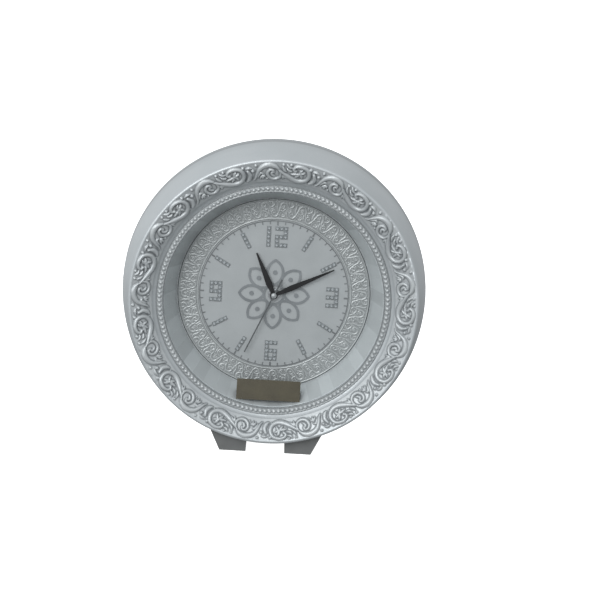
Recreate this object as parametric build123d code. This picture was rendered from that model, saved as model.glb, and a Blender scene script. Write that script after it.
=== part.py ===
from build123d import *
import os
from math import acos, cos, hypot, pi, radians, sin, sqrt, tan

# A round wall clock with a deep silver dish frame.
# The face looks along -Y, the wall plane is Y = 0, the hand axis is the Y axis, +Z is up.
# Depths are measured forward from the wall plane.

# Frame shell
RIM_RADIUS = 175.0
RIM_ROUND = 3.0
RIM_LAND = 3.0
FRAME_WALL = 2.6
CREST_RADIUS = 159.5
CREST_DEPTH = 78.5
CREST_ROUND = 4.0
FLANGE_BULGE = 2.5
FRIEZE_OUTER_RADIUS = 155.0
FRIEZE_INNER_RADIUS = 134.2
FRIEZE_OUTER_DEPTH = 77.5
FRIEZE_INNER_DEPTH = 65.2
COVE_SAG = 0.8
BEAD_OUTER_RADIUS = 130.2
BEAD_INNER_RADIUS = 122.2
BEAD_SEAT_DEPTH = 62.0

# Raised frieze and string of beads
FRIEZE_BASE = 0.4
FRIEZE_RISE = 2.4
FRIEZE_REPEATS = 13
FRIEZE_FIRST_ANGLE = 174.2
SCROLL_RISE = 1.8
BEAD_BASE = 1.0
BEAD_FILLET_WIDTH = 0.9
BEAD_FILLET_RISE = 0.8
BEAD_DIAMETER = 4.6
BEAD_COUNT = 154

# Scrolls of one repeat of the frieze; places along are shares of the repeat's length,
# places across, radii and widths are shares of the bed's width, measured from its middle
# Curled arcs: along, across, radius, width, then the middle and the spread of the arc in degrees
CURL_SHARES = [
    (-0.010, 0.053, 0.37, 0.155, 1, 293),
    (0.393, -0.068, 0.25, 0.115, 253, 285),
    (0.452, -0.190, 0.58, 0.175, 90, 96),
    (0.861, 0.008, 0.35, 0.150, 341, 92),
]
# Tapered stems: along and across where one starts and where it ends, then the width at each end
STEM_SHARES = [
    (0.125, -0.210, 0.330, 0.190, 0.185, 0.070),
    (0.595, 0.235, 0.722, -0.320, 0.160, 0.070),
    (0.555, -0.040, 0.655, -0.215, 0.100, 0.050),
    (0.130, 0.130, 0.195, 0.240, 0.070, 0.110),
    (0.715, 0.290, 0.800, 0.310, 0.060, 0.105),
]
# Berries and petals: along, across, radius
BERRY_SHARES = [
    (0.008, 0.075, 0.100), (-0.060, 0.150, 0.065), (-0.034, -0.090, 0.065), (0.046, -0.080, 0.065),
    (-0.024, 0.235, 0.065), (0.416, -0.030, 0.090), (0.714, 0.160, 0.080), (0.658, 0.400, 0.062),
    (0.853, 0.365, 0.070), (0.145, 0.425, 0.058), (0.256, 0.405, 0.062), (0.572, -0.300, 0.055),
]

# Pleated reflector ring between the dial and the frame
REFLECTOR_SIDES = 48
REFLECTOR_FOOT_RADIUS = 111.0
REFLECTOR_TOP_RADIUS = 121.8
REFLECTOR_WALL = 2.2

# Dial
DIAL_FRONT = 22.0
DIAL_THICKNESS = 1.5
DIAL_RADIUS = 136.0
BAND_INNER_RADIUS = 86.4
BAND_OUTER_RADIUS = 110.0
BAND_RISE = 1.2
TRACK_RADIUS = 85.4
TRACK_WIDTH = 1.2
TRACK_RISE = 0.5
MINUTE_COUNT = 60
MINUTE_TICK_LENGTH = 4.4
MINUTE_TICK_WIDTH = 1.1
HOUR_COUNT = 12
HOUR_TICK_LENGTH = 5.6
HOUR_TICK_WIDTH = 1.8

# Centre motif
MOTIF_PETALS = 8
MOTIF_RADIUS = 41.0
MOTIF_HOLE_RADIUS = 10.0
MOTIF_PETAL_WIDTH = 21.0
MOTIF_STROKE = 3.0
MOTIF_RING_WIDTH = 2.6
MOTIF_LEAF_RADIUS = 2.6
MOTIF_RISE = 0.8

# Set stones
STONE_PITCH = 4.75
STONE_RADIUS = 2.0
STONE_TABLE_RADIUS = 1.1
STONE_RISE = 1.4
STONE_SIDES = 8
SETTING_MARGIN = 0.1
SETTING_RISE = 0.5
NUMERAL_RADIUS = 66.5
BAR_STONES = 4
BAR_OUTER_RADIUS = 79.0
DIGIT_ROWS = {
    "1": ("X", "X", "X", "X", "X"),
    "2": ("XXX", "..X", "XXX", "X..", "XXX"),
    "3": ("XXX", "..X", "XXX", "..X", "XXX"),
    "6": ("XXX", "X..", "XXX", "X.X", "XXX"),
    "9": ("XXX", "X.X", "XXX", "..X", "XXX"),
}
NUMERAL_HOURS = {12: "12", 3: "3", 6: "6", 9: "9"}

# Hands, shown at ten past eleven
HOUR_HAND_LENGTH = 52.5
HOUR_HAND_WIDTH = 7.4
HOUR_HAND_ANGLE = 335.3
MINUTE_HAND_LENGTH = 74.5
MINUTE_HAND_WIDTH = 6.4
MINUTE_HAND_ANGLE = 63.4
SECOND_HAND_LENGTH = 74.0
SECOND_HAND_TAIL = 21.0
SECOND_HAND_WIDTH = 1.8
SECOND_TIP_WIDTH = 1.5
SECOND_HAND_ANGLE = 204.0
HAND_THICKNESS = 0.5
HAND_HUB_RADIUS = 4.4
HAND_COLLAR = 0.8
HAND_LAYER = 1.6
CAP_RADIUS = 3.2
CAP_RISE = 1.6
HAND_WIDEST_SHARE = 0.28
HAND_TIP_SHARE = 0.22
HAND_NECK_SHARE = 0.45
HAND_COLLAR_SHARE = 0.8

# Movement case
CASE_SIDE = 56.0
CASE_WALL = 1.5
CASE_DEPTH = 16.5
CASE_SPLIT = 8.0
GASKET_THICKNESS = 0.5
GASKET_RADIUS = 10.0
BUSH_RADIUS = 4.0
BUSH_BORE_RADIUS = 2.5
BUSH_REACH = 3.2
BUSH_CLEARANCE = 0.1
WASHER_RADIUS = 7.0
WASHER_THICKNESS = 0.5
NUT_RADIUS = 6.3
NUT_THICKNESS = 2.4

# Wheels and arbors inside the case
PRESSURE_ANGLE = radians(20.0)
TOOTH_SHARE = 0.78
WHEEL_TIP_SHARE = 0.55
PINION_TIP_SHARE = 0.75
ROOT_SHARE = 1.05
SECONDS_DISTANCE = 7.5
ROTOR_DISTANCE = 7.0
THIRD_DISTANCE = 10.2
MOTION_DISTANCE = 7.2
INTERMEDIATE_ANGLE = radians(20.0)
ROTOR_ANGLE = radians(10.0)
THIRD_ANGLE = radians(100.0)
MOTION_ANGLE = radians(200.0)
SETTING_ANGLE = radians(160.0)
ROTOR_TEETH = 10
INTERMEDIATE_TEETH = 60
INTERMEDIATE_PINION_TEETH = 10
SECONDS_TEETH = 50
SECONDS_PINION_TEETH = 10
THIRD_TEETH = 75
THIRD_PINION_TEETH = 10
CENTRE_TEETH = 80
CANNON_TEETH = 12
MOTION_TEETH = 36
MOTION_PINION_TEETH = 10
HOUR_TEETH = 40
SETTING_TEETH = 12
WHEEL_THICKNESS = 0.6
PINION_LENGTH = 1.2
ARBOR_RADIUS = 0.6
SECONDS_ARBOR_RADIUS = 0.55
MINUTE_PIPE_RADIUS = 1.55
HOUR_PIPE_RADIUS = 2.4
RUNNING_CLEARANCE = 0.08
PIVOT_LENGTH = 0.7
ROTOR_MAGNET_RADIUS = 2.5
ROTOR_MAGNET_LENGTH = 1.6
SECONDS_LAYER = 3.4
INTERMEDIATE_LAYER = 5.1
THIRD_LAYER = 6.4
PLATE_LAYER = 7.5
PLATE_THICKNESS = 1.0
CENTRE_LAYER = 9.1
MOTION_LAYER = 10.7
HOUR_LAYER = 12.4
LAYER_PLAY = 0.3
PLATE_WIDTH = 36.0
PLATE_TOP = 21.0
PLATE_FOOT = 9.4
POST_RADIUS = 1.4
SETTING_ARBOR_RADIUS = 1.0
KNOB_RADIUS = 5.0
KNOB_THICKNESS = 2.0
KNOB_GRIPS = 16
KNOB_GRIP_RADIUS = 0.6
KNOB_LIFT = 0.3

# Motor and electronics
STATOR_THICKNESS = 1.6
STATOR_GAP = 0.5
STATOR_BAR_WIDTH = 8.0
STATOR_LEG_WIDTH = 4.0
STATOR_LEG_REACH = 7.6
STATOR_HEIGHT = 24.0
CORE_WIDTH = 3.0
CORE_THICKNESS = 1.6
COIL_WIDTH = 6.0
COIL_THICKNESS = 4.2
BOARD_WIDTH = 19.0
BOARD_HEIGHT = 11.0
BOARD_THICKNESS = 1.0
BOARD_INSET = 0.4
CHIP_RADIUS = 3.0
CHIP_RISE = 1.0
CRYSTAL_RADIUS = 1.0
CRYSTAL_LENGTH = 6.0

# Cell and contacts, AA size
CELL_RADIUS = 7.1
CELL_LENGTH = 49.0
CELL_NUB_RADIUS = 2.7
CELL_NUB_LENGTH = 1.5
CELL_CLEARANCE = 0.25
CONTACT_THICKNESS = 0.4
CONTACT_WIDTH = 11.0
CONTACT_DOME_RADIUS = 4.0
CONTACT_DOME_TIP_RADIUS = 2.4

# Back cover, hanger, fasteners
COVER_BACK = 2.0
COVER_THICKNESS = 2.0
COVER_OPENING_RADIUS = 56.0
COVER_CLEARANCE = 0.6
COVER_SCREW_COUNT = 6
COVER_SCREW_CIRCLE = 150.0
DIAL_SCREW_COUNT = 6
DIAL_SCREW_CIRCLE = 130.0
BOSS_RADIUS = 4.0
SCREW_RADIUS = 1.45
SCREW_HEAD_RADIUS = 3.0
SCREW_HEAD_THICKNESS = 1.6
SCREW_BITE = 9.0
SCREW_SLOT_WIDTH = 0.9
SCREW_SLOT_DEPTH = 0.7
SCREW_CLEARANCE = 0.15
HANGER_INSET = 47.0
HANGER_WIDTH = 42.0
HANGER_LENGTH = 26.0
HANGER_THICKNESS = 1.2
HANGER_HOLE_RADIUS = 4.5
HANGER_SLOT_RADIUS = 2.2
HANGER_SLOT_RISE = 8.0
HANGER_SCREW_SPACING = 32.0
HANGER_SCREW_BITE = 4.0
HANGER_SCREW_HEAD = 0.6
HANGER_ROOM = 3.0

# Feet under the flange
FOOT_OUTER = 52.0
FOOT_INNER = 22.0
FOOT_FLARE = 14.0
FOOT_BACK = 30.0
FOOT_THICKNESS = 34.0
FOOT_CLEARANCE = 0.05

# Blank folded card that stands on the lowest pleats
CARD_WIDTH = 72.0
CARD_HEIGHT = 23.0
CARD_LEAN = radians(16.0)
CARD_THICKNESS = 0.6
CARD_STANDOFF = 0.3
CARD_FRONT_SHARE = 0.95
CARD_REAR_SHARE = 0.4

# Cuts run past the faces they go through by this much
OVERRUN = 1.0

# Depths that follow from the values above
dial_back = DIAL_FRONT - DIAL_THICKNESS
case_front = dial_back - GASKET_THICKNESS
case_back = case_front - CASE_DEPTH
case_inner_back = case_back + CASE_WALL
case_inner_front = case_front - CASE_WALL
split_depth = case_back + CASE_SPLIT
lip_back = BEAD_SEAT_DEPTH - FRAME_WALL
cover_front = COVER_BACK + COVER_THICKNESS
bush_front = DIAL_FRONT + BUSH_REACH
hour_hand_back = bush_front + LAYER_PLAY
minute_hand_back = hour_hand_back + HAND_LAYER
second_hand_back = minute_hand_back + HAND_LAYER
half_case = CASE_SIDE / 2
half_inside = half_case - CASE_WALL


# Shared helpers

def front_plane(depth):
    """A plane at a depth, seen from the front: x to the right, y up, normal to the viewer."""
    return Plane(origin=(0, -depth, 0), x_dir=(1, 0, 0), z_dir=(0, -1, 0))


def raised(sketch, back, thickness):
    """A flat outline given thickness forward from a depth."""
    return extrude(front_plane(back) * sketch, amount=thickness)


def disc(radius, back, thickness, centre=(0, 0)):
    return raised(Pos(*centre) * Circle(radius), back, thickness)


def tube(radius, bore, back, thickness, centre=(0, 0)):
    ring = Pos(*centre) * (Circle(radius) - Circle(bore))
    return raised(ring, back, thickness)


def block(x_low, x_high, z_low, z_high, back, thickness):
    outline = Rectangle(x_high - x_low, z_high - z_low)
    return raised(Pos((x_low + x_high) / 2, (z_low + z_high) / 2) * outline, back, thickness)


def spun(edges):
    """A closed outline in (radius, -depth) turned about the hand axis."""
    return revolve(make_face(edges), Axis.Y, 360)


def at(radius, depth):
    return (radius, -depth)


def on_circle(radius, angle):
    """A place on a circle, the angle clockwise from the top in degrees."""
    return (radius * sin(radians(angle)), radius * cos(radians(angle)))


def group(solids):
    return Compound(children=list(solids))


# Frame

def flange_arc(clearance):
    """The swelling side of the frame from the rim to the crest, moved out by a clearance."""
    middle = at(
        (RIM_RADIUS + CREST_RADIUS) / 2 + FLANGE_BULGE + clearance,
        (CREST_DEPTH - CREST_ROUND + RIM_ROUND) / 2,
    )
    low = at(RIM_RADIUS + clearance, RIM_ROUND)
    high = at(CREST_RADIUS + clearance, CREST_DEPTH - CREST_ROUND)
    return ThreePointArc(low, middle, high)


def frame_line():
    """The visible side of the frame, from the wall to the inner lip."""
    land_inner = at(RIM_RADIUS - RIM_ROUND - RIM_LAND, 0)
    rim_low = at(RIM_RADIUS - RIM_ROUND, 0)
    rim_wide = at(RIM_RADIUS, RIM_ROUND)
    crest_low = at(CREST_RADIUS, CREST_DEPTH - CREST_ROUND)
    bed_outer = at(FRIEZE_OUTER_RADIUS, FRIEZE_OUTER_DEPTH)
    bed_inner = at(FRIEZE_INNER_RADIUS, FRIEZE_INNER_DEPTH)
    seat_outer = at(BEAD_OUTER_RADIUS, BEAD_SEAT_DEPTH)
    seat_inner = at(BEAD_INNER_RADIUS, BEAD_SEAT_DEPTH)
    crest_top = at((CREST_RADIUS + FRIEZE_OUTER_RADIUS) / 2, CREST_DEPTH)
    cove_middle = at(
        (FRIEZE_INNER_RADIUS + BEAD_OUTER_RADIUS) / 2 + COVE_SAG / 2,
        (FRIEZE_INNER_DEPTH + BEAD_SEAT_DEPTH) / 2 - COVE_SAG / 2,
    )
    return [
        Line(land_inner, rim_low),
        RadiusArc(rim_low, rim_wide, RIM_ROUND),
        flange_arc(0),
        ThreePointArc(crest_low, crest_top, bed_outer),
        Line(bed_outer, bed_inner),
        ThreePointArc(bed_inner, cove_middle, seat_outer),
        Line(seat_outer, seat_inner),
    ]


def boss_places(circle, count):
    return [on_circle(circle, 360 / count * (i + 1 / 2)) for i in range(count)]


def frame_shell():
    outline = offset(Wire(frame_line()), amount=FRAME_WALL, side=Side.RIGHT, closed=True)
    shell = revolve(make_face(outline.edges()), Axis.Y, 360)
    bed_slope = bed_climb / bed_run
    boss_bed_depth = FRIEZE_INNER_DEPTH + bed_slope * (COVER_SCREW_CIRCLE - FRIEZE_INNER_RADIUS)
    cover_boss_top = boss_bed_depth - BOSS_RADIUS * bed_slope - FRAME_WALL / 2
    for place in boss_places(COVER_SCREW_CIRCLE, COVER_SCREW_COUNT):
        shell += disc(BOSS_RADIUS, cover_front, cover_boss_top - cover_front, place)
        shell -= disc(SCREW_RADIUS, cover_front, SCREW_BITE + OVERRUN, place)
    for place in boss_places(DIAL_SCREW_CIRCLE, DIAL_SCREW_COUNT):
        shell += disc(BOSS_RADIUS, DIAL_FRONT, lip_back + FRAME_WALL / 2 - DIAL_FRONT, place)
        shell -= disc(SCREW_RADIUS, DIAL_FRONT, SCREW_BITE + OVERRUN, place)
    return shell


bed_run = FRIEZE_OUTER_RADIUS - FRIEZE_INNER_RADIUS
bed_climb = FRIEZE_OUTER_DEPTH - FRIEZE_INNER_DEPTH
bed_width = hypot(bed_run, bed_climb)
bed_radius = (FRIEZE_OUTER_RADIUS + FRIEZE_INNER_RADIUS) / 2
bed_depth = (FRIEZE_OUTER_DEPTH + FRIEZE_INNER_DEPTH) / 2
repeat_length = 2 * pi * bed_radius / FRIEZE_REPEATS


def bed_layer(height):
    """A ring that covers the frieze bed, with the given height above it."""
    inward = height * bed_climb / bed_width
    forward = height * bed_run / bed_width
    points = [
        at(FRIEZE_INNER_RADIUS, FRIEZE_INNER_DEPTH),
        at(FRIEZE_OUTER_RADIUS, FRIEZE_OUTER_DEPTH),
        at(FRIEZE_OUTER_RADIUS - inward, FRIEZE_OUTER_DEPTH + forward),
        at(FRIEZE_INNER_RADIUS - inward, FRIEZE_INNER_DEPTH + forward),
    ]
    return spun(Polyline(*points, close=True).edges())


def bed_plane(along_share):
    """The plane that touches the bed at a place along the repeat, x clockwise and y up the slope."""
    turn = radians(FRIEZE_FIRST_ANGLE) - along_share * repeat_length / bed_radius
    inward = -bed_climb / bed_width
    return Plane(
        origin=(bed_radius * sin(turn), -bed_depth, bed_radius * cos(turn)),
        x_dir=(cos(turn), 0, -sin(turn)),
        z_dir=(inward * sin(turn), -bed_run / bed_width, inward * cos(turn)),
    )


def scroll(along_share, outline):
    """An outline on the bed, raised from just below its surface."""
    return extrude(bed_plane(along_share).offset(-FRIEZE_BASE) * outline, amount=FRIEZE_BASE + SCROLL_RISE)


def wedge(reach, middle, spread):
    """A triangle from the centre that holds an angle of less than half a turn."""
    side = reach / cos(radians(spread / 2))
    corners = [(side * cos(radians(middle + turn)), side * sin(radians(middle + turn)))
               for turn in (-spread / 2, spread / 2)]
    return make_face(Polyline((0, 0), *corners, close=True))


def curl(along, across, radius, width, middle, spread):
    outer = (radius + width / 2) * bed_width
    ring = Circle(outer) - Circle((radius - width / 2) * bed_width)
    if spread < 180:
        ring &= wedge(outer + OVERRUN, 180 - middle, spread)
    else:
        ring -= wedge(outer + OVERRUN, -middle, 360 - spread)
    return scroll(along, Pos(0, across * bed_width) * ring)


def stem(along, across, end_along, end_across, width, end_width):
    reach = (end_along - along) * repeat_length
    climb = (end_across - across) * bed_width
    length = hypot(reach, climb)
    side = (climb / length * bed_width / 2, reach / length * bed_width / 2)
    corners = []
    for x, y, thick in ((reach / 2, -climb / 2, width), (-reach / 2, climb / 2, end_width)):
        corners.append([(x + turn * side[0] * thick, y + turn * side[1] * thick) for turn in (-1, 1)])
    outline = make_face(Polyline(*corners[0], *reversed(corners[1]), close=True))
    middle = (across + end_across) / 2 * bed_width
    return scroll((along + end_along) / 2, Pos(0, middle) * outline)


def berry(along, across, radius):
    return scroll(along, Pos(0, across * bed_width) * Circle(radius * bed_width))


def frieze_ring():
    """A thin ring on the bed with curls, stems and berries that repeat around it."""
    pieces = [curl(*shares) for shares in CURL_SHARES]
    pieces += [stem(*shares) for shares in STEM_SHARES]
    pieces += [berry(*shares) for shares in BERRY_SHARES]
    repeat = (pieces[0] + pieces[1:]) & bed_layer(FRIEZE_RISE)
    scrolls = [Rot(0, 360 / FRIEZE_REPEATS * i, 0) * repeat for i in range(FRIEZE_REPEATS)]
    return bed_layer(FRIEZE_BASE) + scrolls


def bead_ring():
    top = BEAD_SEAT_DEPTH + BEAD_BASE
    base = tube(BEAD_OUTER_RADIUS, BEAD_INNER_RADIUS, BEAD_SEAT_DEPTH, BEAD_BASE)
    outer = tube(BEAD_OUTER_RADIUS, BEAD_OUTER_RADIUS - BEAD_FILLET_WIDTH, top, BEAD_FILLET_RISE)
    inner = tube(BEAD_INNER_RADIUS + BEAD_FILLET_WIDTH, BEAD_INNER_RADIUS, top, BEAD_FILLET_RISE)
    middle = (BEAD_OUTER_RADIUS + BEAD_INNER_RADIUS) / 2
    beads = []
    for i in range(BEAD_COUNT):
        x, z = on_circle(middle, 360 / BEAD_COUNT * i)
        bead = Pos(x, -top, z) * Sphere(BEAD_DIAMETER / 2)
        beads.append(bead)
    keep = tube(BEAD_OUTER_RADIUS, BEAD_INNER_RADIUS, BEAD_SEAT_DEPTH, BEAD_BASE + BEAD_DIAMETER)
    return (base + outer + inner + beads) & keep


# Reflector

def pleated_cone(foot_radius, top_radius, foot_depth, top_depth):
    foot = front_plane(foot_depth) * RegularPolygon(foot_radius, REFLECTOR_SIDES)
    top = front_plane(top_depth) * RegularPolygon(top_radius, REFLECTOR_SIDES)
    return loft([foot.face(), top.face()], ruled=True)


def reflector_ring():
    outside = pleated_cone(
        REFLECTOR_FOOT_RADIUS + REFLECTOR_WALL, REFLECTOR_TOP_RADIUS + REFLECTOR_WALL, DIAL_FRONT, lip_back
    )
    inside = pleated_cone(REFLECTOR_FOOT_RADIUS, REFLECTOR_TOP_RADIUS, DIAL_FRONT, lip_back)
    return outside - inside


# Dial

def dial_plate():
    outline = Circle(DIAL_RADIUS) - Circle(BUSH_RADIUS + BUSH_CLEARANCE)
    for x, z in boss_places(DIAL_SCREW_CIRCLE, DIAL_SCREW_COUNT):
        outline -= Pos(x, z) * Circle(SCREW_RADIUS + SCREW_CLEARANCE)
    return raised(outline, dial_back, DIAL_THICKNESS)


def dial_band():
    return tube(BAND_OUTER_RADIUS, BAND_INNER_RADIUS, DIAL_FRONT, BAND_RISE)


def tick(length, width, angle):
    outer = TRACK_RADIUS
    place = on_circle(outer - length / 2, angle)
    return Pos(*place) * Rot(0, 0, -angle) * Rectangle(width, length)


def minute_track():
    outline = Circle(TRACK_RADIUS) - Circle(TRACK_RADIUS - TRACK_WIDTH)
    ticks = []
    for i in range(MINUTE_COUNT):
        angle = 360 / MINUTE_COUNT * i
        hour = i % (MINUTE_COUNT // HOUR_COUNT) == 0
        length = HOUR_TICK_LENGTH if hour else MINUTE_TICK_LENGTH
        width = HOUR_TICK_WIDTH if hour else MINUTE_TICK_WIDTH
        ticks.append(tick(length, width, angle))
    return raised(outline + ticks, DIAL_FRONT, TRACK_RISE)


def vesica(length, width):
    """A pointed oval, long side upright and centred on its middle."""
    radius = (length * length / 4 + width * width / 4) / width
    shift = radius - width / 2
    return Pos(shift, 0) * Circle(radius) & Pos(-shift, 0) * Circle(radius)


def centre_motif():
    """An eight-petalled arabesque rosette around the hand axis."""
    length = MOTIF_RADIUS - MOTIF_HOLE_RADIUS
    middle = (MOTIF_RADIUS + MOTIF_HOLE_RADIUS) / 2
    petal = vesica(length, MOTIF_PETAL_WIDTH)
    petal -= vesica(length - 2 * MOTIF_STROKE, MOTIF_PETAL_WIDTH - 2 * MOTIF_STROKE)
    leaf = Circle(MOTIF_LEAF_RADIUS)
    ring_radius = MOTIF_HOLE_RADIUS + MOTIF_RING_WIDTH
    outline = Circle(ring_radius) - Circle(MOTIF_HOLE_RADIUS)
    for i in range(MOTIF_PETALS):
        angle = 360 / MOTIF_PETALS * i
        outline += Rot(0, 0, angle) * Pos(0, middle) * petal
    solids = [raised(outline, DIAL_FRONT, MOTIF_RISE)]
    for i in range(MOTIF_PETALS):
        angle = 360 / MOTIF_PETALS * i
        solids.append(raised(Rot(0, 0, angle) * Pos(0, middle) * leaf, DIAL_FRONT, MOTIF_RISE))
    return group(solids)


# Hour marks

def digit_places(digit, centre):
    rows = DIGIT_ROWS[digit]
    width = len(rows[0])
    places = []
    for row, cells in enumerate(rows):
        for column, cell in enumerate(cells):
            if cell == "X":
                x = centre[0] + (column - (width - 1) / 2) * STONE_PITCH
                z = centre[1] - (row - (len(rows) - 1) / 2) * STONE_PITCH
                places.append((x, z, 0))
    return places


def hour_mark_places(hour):
    """The stones of one hour: digits stand upright, bars lie along the radius."""
    angle = 360 / HOUR_COUNT * hour
    if hour not in NUMERAL_HOURS:
        radii = [BAR_OUTER_RADIUS - STONE_PITCH * (i + 1 / 2) for i in range(BAR_STONES)]
        return [(*on_circle(radius, angle), angle) for radius in radii]
    digits = NUMERAL_HOURS[hour]
    widths = [len(DIGIT_ROWS[digit][0]) for digit in digits]
    total = sum(widths) + len(digits) - 1
    middle = on_circle(NUMERAL_RADIUS, angle)
    places = []
    start = -total / 2
    for digit, width in zip(digits, widths):
        x = middle[0] + (start + width / 2) * STONE_PITCH
        places += digit_places(digit, (x, middle[1]))
        start += width + 1
    return places


def stone_settings():
    side = STONE_PITCH + SETTING_MARGIN
    solids = []
    for hour in range(1, HOUR_COUNT + 1):
        places = hour_mark_places(hour)
        cells = [Pos(x, z) * Rot(0, 0, -angle) * Rectangle(side, side) for x, z, angle in places]
        outline = cells[0].fuse(*cells[1:])
        solids += [raised(face, DIAL_FRONT, SETTING_RISE) for face in outline.faces()]
    return group(solids)


def hour_stones():
    seat = DIAL_FRONT + SETTING_RISE
    girdle = front_plane(seat) * RegularPolygon(STONE_RADIUS, STONE_SIDES)
    table = front_plane(seat + STONE_RISE) * RegularPolygon(STONE_TABLE_RADIUS, STONE_SIDES)
    stone = loft([girdle.face(), table.face()], ruled=True)
    places = [place for hour in range(1, HOUR_COUNT + 1) for place in hour_mark_places(hour)]
    return group(Pos(x, 0, z) * Rot(0, angle, 0) * stone for x, z, angle in places)


# Hands

def pointed_blade(length, width):
    """A slim kite that starts at the hub and ends in a narrow blunt tip."""
    neck = width * HAND_NECK_SHARE
    tip = width * HAND_TIP_SHARE
    widest = length * HAND_WIDEST_SHARE
    right_side = [(tip / 2, length), (width / 2, widest), (neck / 2, 0)]
    left_side = [(-neck / 2, 0), (-width / 2, widest), (-tip / 2, length)]
    points = left_side + right_side
    return make_face(Polyline(*points, close=True))


def hand(blade, angle, back, bore, hub_radius, collar):
    """A flat hand pushed on its pipe, with a collar behind it."""
    outline = Rot(0, 0, -angle) * blade + Circle(hub_radius)
    plate = raised(outline - Circle(bore), back, HAND_THICKNESS)
    return plate + tube(hub_radius * HAND_COLLAR_SHARE, bore, back - collar, collar + HAND_THICKNESS / 2)


def hour_hand():
    blade = pointed_blade(HOUR_HAND_LENGTH, HOUR_HAND_WIDTH)
    back = hour_hand_back + HAND_COLLAR
    return hand(blade, HOUR_HAND_ANGLE, back, HOUR_PIPE_RADIUS, HAND_HUB_RADIUS, HAND_COLLAR)


def minute_hand():
    blade = pointed_blade(MINUTE_HAND_LENGTH, MINUTE_HAND_WIDTH)
    back = minute_hand_back + HAND_COLLAR
    return hand(blade, MINUTE_HAND_ANGLE, back, MINUTE_PIPE_RADIUS, HAND_HUB_RADIUS, HAND_COLLAR)


def second_hand():
    points = [
        (-SECOND_HAND_WIDTH / 2, -SECOND_HAND_TAIL),
        (-SECOND_TIP_WIDTH / 2, SECOND_HAND_LENGTH),
        (SECOND_TIP_WIDTH / 2, SECOND_HAND_LENGTH),
        (SECOND_HAND_WIDTH / 2, -SECOND_HAND_TAIL),
    ]
    blade = make_face(Polyline(*points, close=True))
    back = second_hand_back + HAND_COLLAR
    return hand(blade, SECOND_HAND_ANGLE, back, SECONDS_ARBOR_RADIUS, CAP_RADIUS, HAND_COLLAR)


def hand_cap():
    """A low round button that covers the end of the seconds arbor."""
    back = second_hand_back + HAND_COLLAR + HAND_THICKNESS
    ball_radius = (CAP_RADIUS ** 2 + CAP_RISE ** 2) / (2 * CAP_RISE)
    ball = Pos(0, -(back + CAP_RISE - ball_radius), 0) * Sphere(ball_radius)
    return disc(CAP_RADIUS, back, CAP_RISE) & ball


# Wheel places, seen from the front

def stepped(start, distance, angle):
    return (start[0] + distance * cos(angle), start[1] + distance * sin(angle))


centre = (0, 0)
intermediate_place = stepped(centre, SECONDS_DISTANCE, INTERMEDIATE_ANGLE)
rotor_place = stepped(intermediate_place, ROTOR_DISTANCE, ROTOR_ANGLE)
third_place = stepped(centre, THIRD_DISTANCE, THIRD_ANGLE)
motion_place = stepped(centre, MOTION_DISTANCE, MOTION_ANGLE)
setting_place = stepped(motion_place, MOTION_DISTANCE, SETTING_ANGLE)

# Gear modules from the centre distances and the teeth of each pair
rotor_module = 2 * ROTOR_DISTANCE / (ROTOR_TEETH + INTERMEDIATE_TEETH)
seconds_module = 2 * SECONDS_DISTANCE / (INTERMEDIATE_PINION_TEETH + SECONDS_TEETH)
third_module = 2 * THIRD_DISTANCE / (SECONDS_PINION_TEETH + THIRD_TEETH)
centre_module = 2 * THIRD_DISTANCE / (THIRD_PINION_TEETH + CENTRE_TEETH)
cannon_module = 2 * MOTION_DISTANCE / (CANNON_TEETH + MOTION_TEETH)
hour_module = 2 * MOTION_DISTANCE / (MOTION_PINION_TEETH + HOUR_TEETH)


def meshed_turn(driver_turn, driver_teeth, direction, teeth):
    """The turn that puts a tooth gap where the driver's nearest tooth reaches in."""
    lag = (direction - driver_turn) % (2 * pi / driver_teeth)
    return direction + pi + pi / teeth + lag * driver_teeth / teeth


def opening_angle(radius, base):
    angle = acos(min(1, base / radius))
    return tan(angle) - angle


def gear_outline(teeth, module, turn, tip_share):
    pitch = module * teeth / 2
    base = pitch * cos(PRESSURE_ANGLE)
    root = pitch - module * ROOT_SHARE
    tip = pitch + module * tip_share
    radii = [root, max(base, (root + pitch) / 2), pitch, (pitch + tip) / 2, tip]
    half_tooth = pi / (2 * teeth) * TOOTH_SHARE + opening_angle(pitch, base)
    points = []
    for i in range(teeth):
        middle = turn + 2 * pi * i / teeth
        rising = [(radius, middle - half_tooth + opening_angle(radius, base)) for radius in radii]
        falling = [(radius, 2 * middle - angle) for radius, angle in reversed(rising)]
        points += [(radius * cos(angle), radius * sin(angle)) for radius, angle in rising + falling]
    return make_face(Polyline(*points, close=True))


def wheel(teeth, module, turn, layer, place):
    outline = gear_outline(teeth, module, turn, WHEEL_TIP_SHARE)
    return raised(Pos(*place) * outline, case_back + layer, WHEEL_THICKNESS)


def pinion(teeth, module, turn, layer, place):
    outline = gear_outline(teeth, module, turn, PINION_TIP_SHARE)
    back = case_back + layer - (PINION_LENGTH - WHEEL_THICKNESS) / 2
    return raised(Pos(*place) * outline, back, PINION_LENGTH)


def arbor(place, back, front, radius=ARBOR_RADIUS):
    return disc(radius, back, front - back, place)


# Train of wheels

pivot_back = case_inner_back - PIVOT_LENGTH
pivot_front = case_inner_front + PIVOT_LENGTH
plate_back = case_back + PLATE_LAYER
plate_front = plate_back + PLATE_THICKNESS
seconds_turn = INTERMEDIATE_ANGLE
intermediate_turn = ROTOR_ANGLE
seconds_pinion_turn = THIRD_ANGLE
third_pinion_turn = THIRD_ANGLE + pi
cannon_turn = MOTION_ANGLE
motion_turn = meshed_turn(cannon_turn, CANNON_TEETH, MOTION_ANGLE, MOTION_TEETH)
motion_pinion_turn = MOTION_ANGLE + pi


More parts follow.
